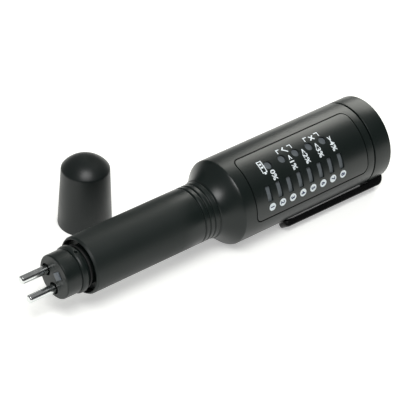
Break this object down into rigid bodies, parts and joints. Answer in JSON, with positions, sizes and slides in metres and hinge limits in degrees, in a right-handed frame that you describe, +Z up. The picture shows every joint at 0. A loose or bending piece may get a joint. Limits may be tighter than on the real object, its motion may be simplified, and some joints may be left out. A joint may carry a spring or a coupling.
{
  "type": "battery and brake fluid tester",
  "caption": "Pen-shaped electronic tester with two probe pins, a lamp and bar scale wrapped round its body, a pocket clip, a pull-off tail cap and a probe cap stood beside it.",
  "frame": {"origin": "on the table, under the middle of the box of the tester and its cap", "axes": "+X along the tester's axis towards its tail, +Z up from the table it lies on, the cap stands on the +Y side"},
  "size_m": [0.1452, 0.059, 0.0304],
  "materials": {
    "body_plastic": "satin",
    "nose_plastic": "satin",
    "cap_plastic": "satin",
    "clip_plastic": "satin",
    "panel_film": "gloss",
    "window_plastic": "frosted",
    "light_block_plastic": "frosted",
    "seal_rubber": "matte",
    "board_laminate": "satin",
    "chip_epoxy": "matte",
    "carrier_plastic": "matte",
    "switch_plastic": "matte",
    "button_rubber": "matte",
    "spring_steel": "drawn",
    "pin_chrome": "polished",
    "lead_red": "matte",
    "lead_black": "matte",
    "cell_jacket": "gloss",
    "contact_brass": "rolled",
    "led_package": "moulded"
  },
  "bodies": {
    "housing": {"housing": "body_plastic", "nose": "nose_plastic", "nose_seal": "seal_rubber", "light_block": "light_block_plastic", "display_panel": "panel_film", "circuit_board": "board_laminate", "controller_chip": "chip_epoxy", "battery_carrier": "carrier_plastic", "probe_pin_1": "pin_chrome", "probe_pin_2": "pin_chrome", "probe_lead_1": "lead_red", "probe_lead_2": "lead_black", "battery_cell_1": "cell_jacket", "battery_cell_2": "cell_jacket", "battery_contact_1": "contact_brass", "battery_contact_2": "contact_brass", "lamp_lens_1": "window_plastic", "lamp_lens_2": "window_plastic", "lamp_lens_3": "window_plastic", "lamp_lens_4": "window_plastic", "lamp_lens_5": "window_plastic", "lamp_led_1": "led_package", "lamp_led_2": "led_package", "lamp_led_3": "led_package", "lamp_led_4": "led_package", "lamp_led_5": "led_package", "scale_lens_1": "window_plastic", "scale_lens_2": "window_plastic", "scale_lens_3": "window_plastic", "scale_lens_4": "window_plastic", "scale_lens_5": "window_plastic", "scale_lens_6": "window_plastic", "scale_lens_7": "window_plastic", "scale_lens_8": "window_plastic", "scale_led_1": "led_package", "scale_led_2": "led_package", "scale_led_3": "led_package", "scale_led_4": "led_package", "scale_led_5": "led_package", "scale_led_6": "led_package", "scale_led_7": "led_package", "scale_led_8": "led_package"},
    "tail_cap": {"tail_cap": "body_plastic", "tail_seal": "seal_rubber", "switch_plate": "board_laminate", "tail_switch": "switch_plastic", "button_spring": "spring_steel", "battery_spring_1": "spring_steel", "battery_spring_2": "spring_steel"},
    "push_button": {"push_button": "button_rubber"},
    "pocket_clip": {"pocket_clip": "clip_plastic"},
    "probe_cap": {"probe_cap": "cap_plastic"}
  },
  "joints": [
    {"name": "tail_cap_pull", "type": "slide", "parent": "housing", "child": "tail_cap", "axis": [1, 0, 0], "range_m": [0, 0.03]},
    {"name": "button_press", "type": "slide", "parent": "tail_cap", "child": "push_button", "axis": [-1, 0, 0], "range_m": [0, 0.001], "stiffness_N_per_m": 400, "springref_m": -0.001, "deforming": ["button_spring"]},
    {"name": "clip_flex", "type": "hinge", "parent": "tail_cap", "child": "pocket_clip", "pos_m": [0.0715, -0.02381, 0.00386], "axis": [0, -0.766, 0.6428], "range_deg": [0, 3], "stiffness_Nm_per_rad": 5, "springref_deg": -1.15},
    {"name": "cap_lift", "type": "slide", "parent": "housing", "child": "probe_cap", "axis": [0, 0, 1], "range_m": [0, 0.06]}
  ]
}
